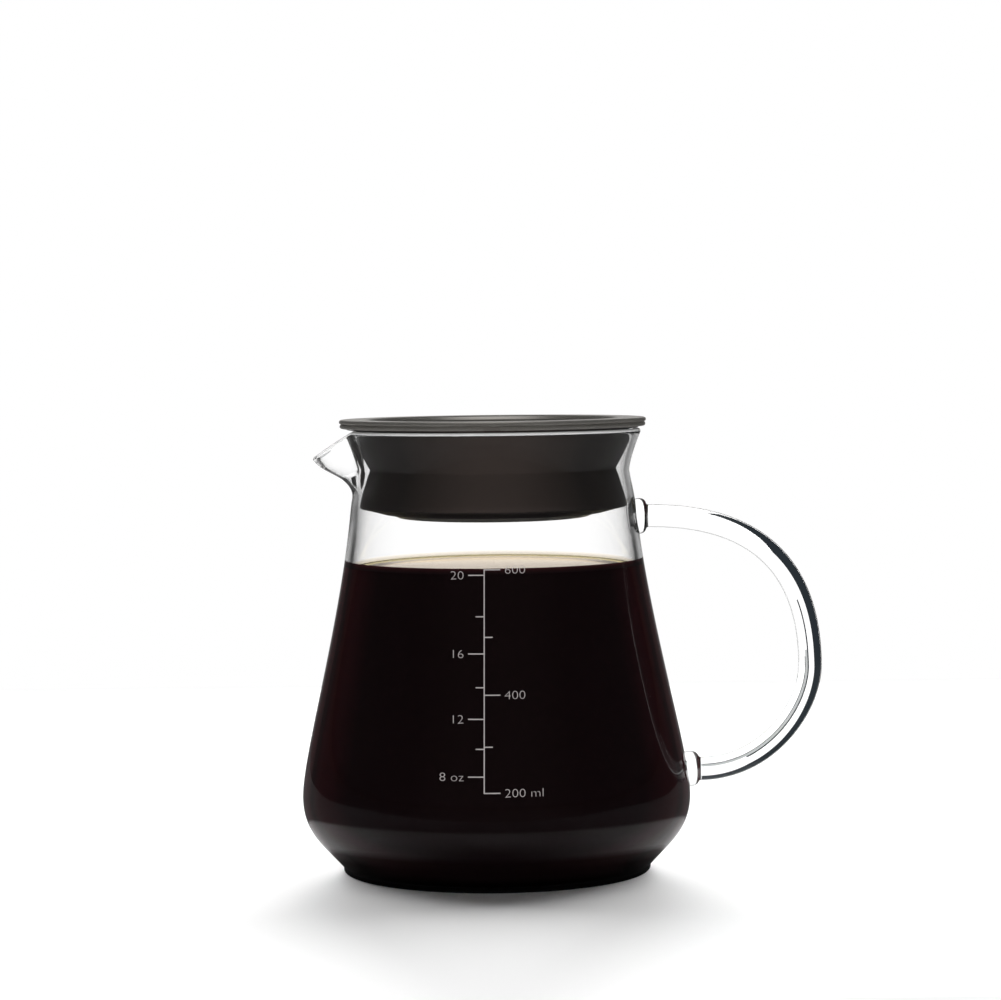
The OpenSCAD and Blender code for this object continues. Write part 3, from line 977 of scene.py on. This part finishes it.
class SERVER_OT_lid_seal(bpy.types.Operator):
    """Mould the hourglass seal that holds the lid in the neck"""

    bl_idname = "server.lid_seal"
    bl_label = "Lid Seal"
    COLUMNS = 192
    SKIRT_STEPS = 14
    LIP_EDGE_STEPS = 8
    FLANGE_EDGE_STEPS = 4
    # Angle in degrees at which the lower lip's rounded edge starts, below level
    LIP_EDGE_START = -65
    # How far the skirt's curve comes in at its lower middle corner, and out again at its upper one
    SKIRT_SHARES = (0.22, 0.32)
    # The bore widens from the waist up, by the flare of the jug's lip and this much more
    BORE_FLARE = 1.5 * MM
    # Gap between the jug's lip and the flange, and how far the seal's waist is above the jug's
    SEAT_RISE = 0.2 * MM
    WAIST_LIFT = 1 * MM

    def execute(self, context):
        size = context.scene.server_seal
        jug = JugShape(context.scene.server_jug)
        edge = size.edge
        waist_z = jug.waist_z + self.WAIST_LIFT
        lip_z = waist_z - size.skirt
        seat_z = jug.lip_z + self.SEAT_RISE
        shoulder_z = jug.lip_z - jug.size.lip_curl
        flare_r = size.bore + jug.size.lip_flare + self.BORE_FLARE
        flange_r = seal_high.x - edge / 2
        low_share, high_share = self.SKIRT_SHARES
        profile = [Vector((size.bore, seal_low.z)), Vector((size.bore + edge, seal_low.z))]
        lip_centre = Vector((size.lip - edge, lip_z + edge / 2))
        profile += arc(lip_centre, edge, self.LIP_EDGE_START, 0, self.LIP_EDGE_STEPS)
        profile += bezier(
            Vector((size.lip, lip_z + edge)),
            Vector((mix(size.lip, size.waist, low_share), lip_z + size.skirt / 3)),
            Vector((mix(size.waist, size.lip, high_share), waist_z - size.skirt / 3)),
            Vector((size.waist, waist_z)),
            self.SKIRT_STEPS,
        )[1:]
        profile += [Vector((size.shoulder, shoulder_z)), Vector((size.shoulder, seat_z))]
        profile += [Vector((flange_r, seat_z))]
        profile += arc(Vector((flange_r, seat_z + edge / 2)), edge / 2, -90, 0, self.FLANGE_EDGE_STEPS)
        top_centre = Vector((flange_r, seal_high.z - edge / 2))
        profile += arc(top_centre, edge / 2, 0, 90, self.FLANGE_EDGE_STEPS)
        profile += [Vector((flare_r, seal_high.z)), Vector((size.bore, jug.waist_z))]
        materials = [moulded_silicone(size)]
        piece = outward(revolve("seal_ring", profile, self.COLUMNS, materials, looped=True))
        piece.data.set_sharp_from_angle(angle=CREASE)
        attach(piece, "seal")
        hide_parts("lid_seal")
        return {"FINISHED"}


def drawn_steel():
    """Deep-drawn stainless steel with a fine satin: it shows the studio as soft, blurred bands,
    a little sharper in some places than in others."""
    material, tree = new_material("satin_drawn_stainless")
    noise = add_node(tree, "TexNoise", Scale=1 / (0.5 * MM), Detail=2.0)
    rough = add_node(tree, "MapRange", Value=noise, To_Min=0.24, To_Max=0.32)
    steel = linear("#BDB9B3")
    shader = add_node(tree, "BsdfPrincipled", Base_Color=steel, Metallic=0.9, Roughness=rough)
    add_node(tree, "OutputMaterial", Surface=shader)
    return material


class SERVER_OT_lid_pan(bpy.types.Operator):
    """Finish the pressed steel lid"""

    bl_idname = "server.lid_pan"
    bl_label = "Lid Pan"

    def execute(self, context):
        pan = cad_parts["lid_pan"]
        pan.data.materials.clear()
        pan.data.materials.append(drawn_steel())
        return {"FINISHED"}


class SERVER_OT_stage(bpy.types.Operator):
    """Set the pale floor, the studio light and the camera"""

    bl_idname = "server.stage"
    bl_label = "Stage"
    # Half of the floor's width, its edges in front of the jug and behind it, and how far it lies
    # below the foot
    FLOOR_SIDE = 0.6
    FLOOR_FRONT = -0.19
    FLOOR_BACK = 0.5
    FLOOR_DROP = 0.05 * MM
    # Painted shade and light on the floor as polished faces show it, by the distance in metres from the
    # jug's axis: dark right under the jug, pale in a ring, dark further out
    MIRRORED_FLOOR = greys((0.05, 0.03), (0.055, 0.5), (0.088, 0.34), (0.096, 0.07))
    # Glowing tones of the sheet and strips: dark for painted shade, pale for painted light
    FLAG_TONES = (("painted_shade_sheet", "#2A3035"), ("painted_light_strips", "#C6C9C9"))
    # How far the flag is behind the handle
    FLAG_DEPTH = 25 * MM
    # How far the flag's edge stays inside the rod's centre line, above the bend and at the low end
    FLAG_INSET = 2.4 * MM
    FLAG_LOW_INSET = 4.4 * MM
    # Height of the bend, and the flag's other edges
    FLAG_BEND = 54 * MM
    FLAG_LEFT = 59 * MM
    FLAG_LOW = 31 * MM
    FLAG_HIGH = 87 * MM
    STREAKS_LEFT = 50 * MM
    # Thin strips beside the flag, dark and pale, that paint shade and light lines in the rod: offset from
    # the rod's centre line, width, the heights between which each runs, and tone
    STREAKS = (
        (3.7 * MM, 1.5 * MM, 31 * MM, 74 * MM, 0),
        (5.3 * MM, 2.6 * MM, 25 * MM, 60 * MM, 1),
        (8.0 * MM, 1.0 * MM, 24 * MM, 58 * MM, 0),
    )
    # What clear glass lets through is a little over white, for what its faces turn away
    THROUGH_GLASS = 1.2
    # What polished faces show, by their share of the half turn from the white wall behind the jug
    # to the dim room in front of it
    ROOM = (
        *greys((0.033, 1.0), (0.062, 0.2), (0.12, 0.05), (0.25, 0.022), (0.7, 0.02)),
        (0.85, (0.045, 0.04, 0.037)),
    )
    # The same for light that the glass turns once inside its wall, which comes from further out
    ROOM_THROUGH_WALL = greys((0.05, 1.0), (0.1, 0.7), (0.15, 0.35), (0.25, 0.08), (0.4, 0.02))
    # By then it has passed two of the glass's faces
    FACES_PASSED = 2
    # Light from above, by how steeply the way to it rises
    OVERHEAD = greys((0.8, 0.0), (0.88, 0.12), (0.96, 0.85))
    # What the still coffee shows of the wall, by how steeply the way to it rises: cream, then grey
    LOW_WALL = (
        (0.05, WHITE),
        (0.062, (1.12, 0.98, 0.77)),
        (0.0655, (1.12, 0.98, 0.77)),
        (0.0667, (1.2, 1.07, 0.92)),
        (0.0673, (1.0, 0.9, 0.86)),
        (0.0679, (0.62, 0.55, 0.55)),
        (0.0686, (0.4, 0.36, 0.34)),
        (0.075, grey(0.6)),
        (0.1, WHITE),
    )
    # Lamps behind the jug: name, share of the key level, tilt, spread and turn in degrees
    KEYS = (
        ("key_left", 0.72, -56, 44, 40),
        ("key_right", 0.75, -56, 44, -40),
        ("key_low", 2.5, -77, 28, 0),
    )
    FILL_TILT = 88
    FILL_SPREAD = 20

    def floor(self):
        """A white floor. Polished faces show it in a darker tone, with painted shade and light by the
        distance from the jug.
        """
        material, tree = new_material("white_floor")
        place = add_node(tree, "TexCoord", output="Object")
        away = add_node(tree, "VectorMath", {0: place}, "Value", operation="LENGTH")
        mirrored = add_node(tree, "ValToRGB", stops=self.MIRRORED_FLOOR, Fac=away)
        glossy = bounced(tree, "Glossy")
        tone = add_node(tree, "Mix", {0: glossy, FIRST: WHITE, SECOND: mirrored}, **OF_COLOURS)
        paint = add_node(tree, "BsdfDiffuse", Color=tone)
        add_node(tree, "OutputMaterial", Surface=paint)
        s, front, back, z = self.FLOOR_SIDE, self.FLOOR_FRONT, self.FLOOR_BACK, -self.FLOOR_DROP
        corners = [(-s, front, z), (s, front, z), (s, back, z), (-s, back, z)]
        new_piece("studio_floor", corners, [(0, 1, 2, 3)], [material])

    def world(self, stage):
        """White to the eye, a little over it through glass, and to polished faces a dim room with one
        white wall and a light overhead."""
        world = bpy.data.worlds.new("studio")
        bpy.context.scene.world = world
        world.use_nodes = True
        tree = world.node_tree
        tree.nodes.clear()
        way = add_node(tree, "TexCoord", output="Generated")
        y = add_node(tree, "SeparateXYZ", output="Y", Vector=way)
        z = add_node(tree, "SeparateXYZ", output="Z", Vector=way)
        aside = add_node(tree, "Math", {0: y}, operation="ARCCOSINE")
        turn = add_node(tree, "MapRange", Value=aside, From_Max=math.pi)
        room = add_node(tree, "ValToRGB", stops=self.ROOM, Fac=turn)
        beside = add_node(tree, "ValToRGB", stops=self.ROOM_THROUGH_WALL, Fac=turn)
        above = add_node(tree, "ValToRGB", stops=self.OVERHEAD, Fac=z)
        wall = add_node(tree, "ValToRGB", stops=self.LOW_WALL, Fac=z)
        depth = add_node(tree, "LightPath", output="Transmission Depth")
        passed = {0: depth, 1: self.FACES_PASSED, 2: HALF_BOUNCE}
        inside = add_node(tree, "Math", passed, operation="COMPARE")
        toned = add_node(
            tree, "Mix", {0: 1.0, FIRST: room, SECOND: wall}, blend_type="MULTIPLY", **OF_COLOURS
        )
        mirror = add_node(
            tree, "Mix", {0: 1.0, FIRST: toned, SECOND: above}, blend_type="ADD", **OF_COLOURS
        )
        turned = add_node(tree, "Mix", {0: inside, FIRST: mirror, SECOND: beside}, **OF_COLOURS)
        eye = add_node(tree, "LightPath", output="Is Camera Ray")
        clear = grey(self.THROUGH_GLASS)
        direct = add_node(tree, "Mix", {0: eye, FIRST: clear, SECOND: WHITE}, **OF_COLOURS)
        glossy = bounced(tree, "Glossy")
        seen = add_node(tree, "Mix", {0: glossy, FIRST: direct, SECOND: turned}, **OF_COLOURS)
        diffuse = bounced(tree, "Diffuse")
        ambient = grey(stage.ambient)
        light = add_node(tree, "Mix", {0: diffuse, FIRST: seen, SECOND: ambient}, **OF_COLOURS)
        background = add_node(tree, "Background", Color=light)
        add_node(tree, "OutputWorld", Surface=background)

    def lamp(self, name, level, tilt, spread, turn=0):
        """A broad, distant light that polished faces don't show. At level 1 it shows a surface
        that faces it at the surface's own colour."""
        data = bpy.data.lights.new(name, "SUN")
        data.angle = math.radians(spread)
        data.energy = math.pi * level
        light = bpy.data.objects.new(name, data)
        light.rotation_euler = (math.radians(tilt), 0, math.radians(turn))
        light.visible_glossy = False
        light.visible_transmission = False
        bpy.context.scene.collection.objects.link(light)

    def flag(self, context):
        """A dark sheet behind the handle that paints shade on the rod. The rod bends the eye's view inward
        and shows the sheet as a dark stripe along its outer side, and the strips beside it as painted
        shade and light lines. Nothing but clear glass shows it."""
        handle = HandleShape(JugShape(context.scene.server_jug), context.scene.server_handle)
        line = [(p, right_of(heading(handle.rod, i))) for i, p in enumerate(handle.rod)]
        edge = []
        for p, inward in line:
            if self.FLAG_LOW < p.y < self.FLAG_HIGH and p.x > self.FLAG_LEFT:
                narrowed = smooth((self.FLAG_BEND - p.y) / (self.FLAG_BEND - self.FLAG_LOW))
                edge.append(p + mix(self.FLAG_INSET, self.FLAG_LOW_INSET, narrowed) * inward)
        corners = [Vector((self.FLAG_LEFT, edge[0].y)), *edge, Vector((self.FLAG_LEFT, edge[-1].y))]
        faces = [tuple(range(len(corners)))]
        slots = [0]
        for offset, width, low, high, slot in self.STREAKS:
            first = len(corners)
            for p, inward in line:
                if low < p.y < high and p.x > self.STREAKS_LEFT:
                    corners += [p - offset * inward, p - (offset + width) * inward]
            strip = [(k, k + 1, k + 3, k + 2) for k in range(first, len(corners) - 2, 2)]
            faces += strip
            slots += [slot] * len(strip)
        materials = []
        for name, tone in self.FLAG_TONES:
            material, tree = new_material(name)
            glow = add_node(tree, "Emission", Color=linear(tone))
            add_node(tree, "OutputMaterial", Surface=glow)
            materials.append(material)
        places = [(p.x, self.FLAG_DEPTH, p.y) for p in corners]
        flag = new_piece("studio_flag", places, faces, materials, slots)
        flag.visible_camera = False
        flag.visible_diffuse = False
        flag.visible_glossy = False
        flag.visible_shadow = False

    def camera(self, stage):
        """A long lens at the height of the lid, looking a little down and rolled by a hair."""
        data = bpy.data.cameras.new("camera")
        data.lens = stage.lens
        data.sensor_fit = "HORIZONTAL"
        camera = bpy.data.objects.new("camera", data)
        place = Matrix.Translation((stage.side, -stage.distance, stage.height))
        tilt = Matrix.Rotation(math.pi / 2 - stage.pitch, 4, "X")
        camera.matrix_world = place @ tilt @ Matrix.Rotation(stage.roll, 4, "Z")
        bpy.context.scene.collection.objects.link(camera)
        bpy.context.scene.camera = camera

    def execute(self, context):
        stage = context.scene.server_stage
        self.floor()
        self.flag(context)
        self.world(stage)
        for name, share, tilt, spread, turn in self.KEYS:
            self.lamp(name, share * stage.key, tilt, spread, turn)
        self.lamp("fill_light", stage.fill, self.FILL_TILT, self.FILL_SPREAD)
        self.camera(stage)
        context.scene.view_settings.view_transform = "Standard"
        return {"FINISHED"}


class SERVER_PT_build(bpy.types.Panel):
    """Lists the steps that build the server"""

    bl_idname = "SERVER_PT_build"
    bl_label = "Glass Coffee Server"
    bl_space_type = "VIEW_3D"
    bl_region_type = "UI"
    bl_category = "Server"

    def draw(self, context):
        for operator in OPERATORS:
            self.layout.operator(operator.bl_idname)


OPERATORS = (
    SERVER_OT_stage,
    SERVER_OT_glass_jug,
    SERVER_OT_coffee,
    SERVER_OT_volume_scale,
    SERVER_OT_lid_seal,
    SERVER_OT_lid_pan,
)
SETTINGS = {
    "server_jug": ServerJugSettings,
    "server_handle": ServerHandleSettings,
    "server_coffee": ServerCoffeeSettings,
    "server_scale": ServerScaleSettings,
    "server_seal": ServerSealSettings,
    "server_stage": ServerStageSettings,
}


def register():
    for name, group in SETTINGS.items():
        bpy.utils.register_class(group)
        setattr(bpy.types.Scene, name, PointerProperty(type=group))
    for kind in (*OPERATORS, SERVER_PT_build):
        bpy.utils.register_class(kind)


def unregister():
    for kind in (SERVER_PT_build, *reversed(OPERATORS)):
        bpy.utils.unregister_class(kind)
    for name, group in reversed(SETTINGS.items()):
        delattr(bpy.types.Scene, name)
        bpy.utils.unregister_class(group)


def main():
    """Builds the server and the stage."""
    register()
    bpy.ops.server.stage()
    bpy.ops.server.glass_jug()
    bpy.ops.server.coffee()
    bpy.ops.server.volume_scale()
    bpy.ops.server.lid_seal()
    bpy.ops.server.lid_pan()


if __name__ == "__main__":
    main()
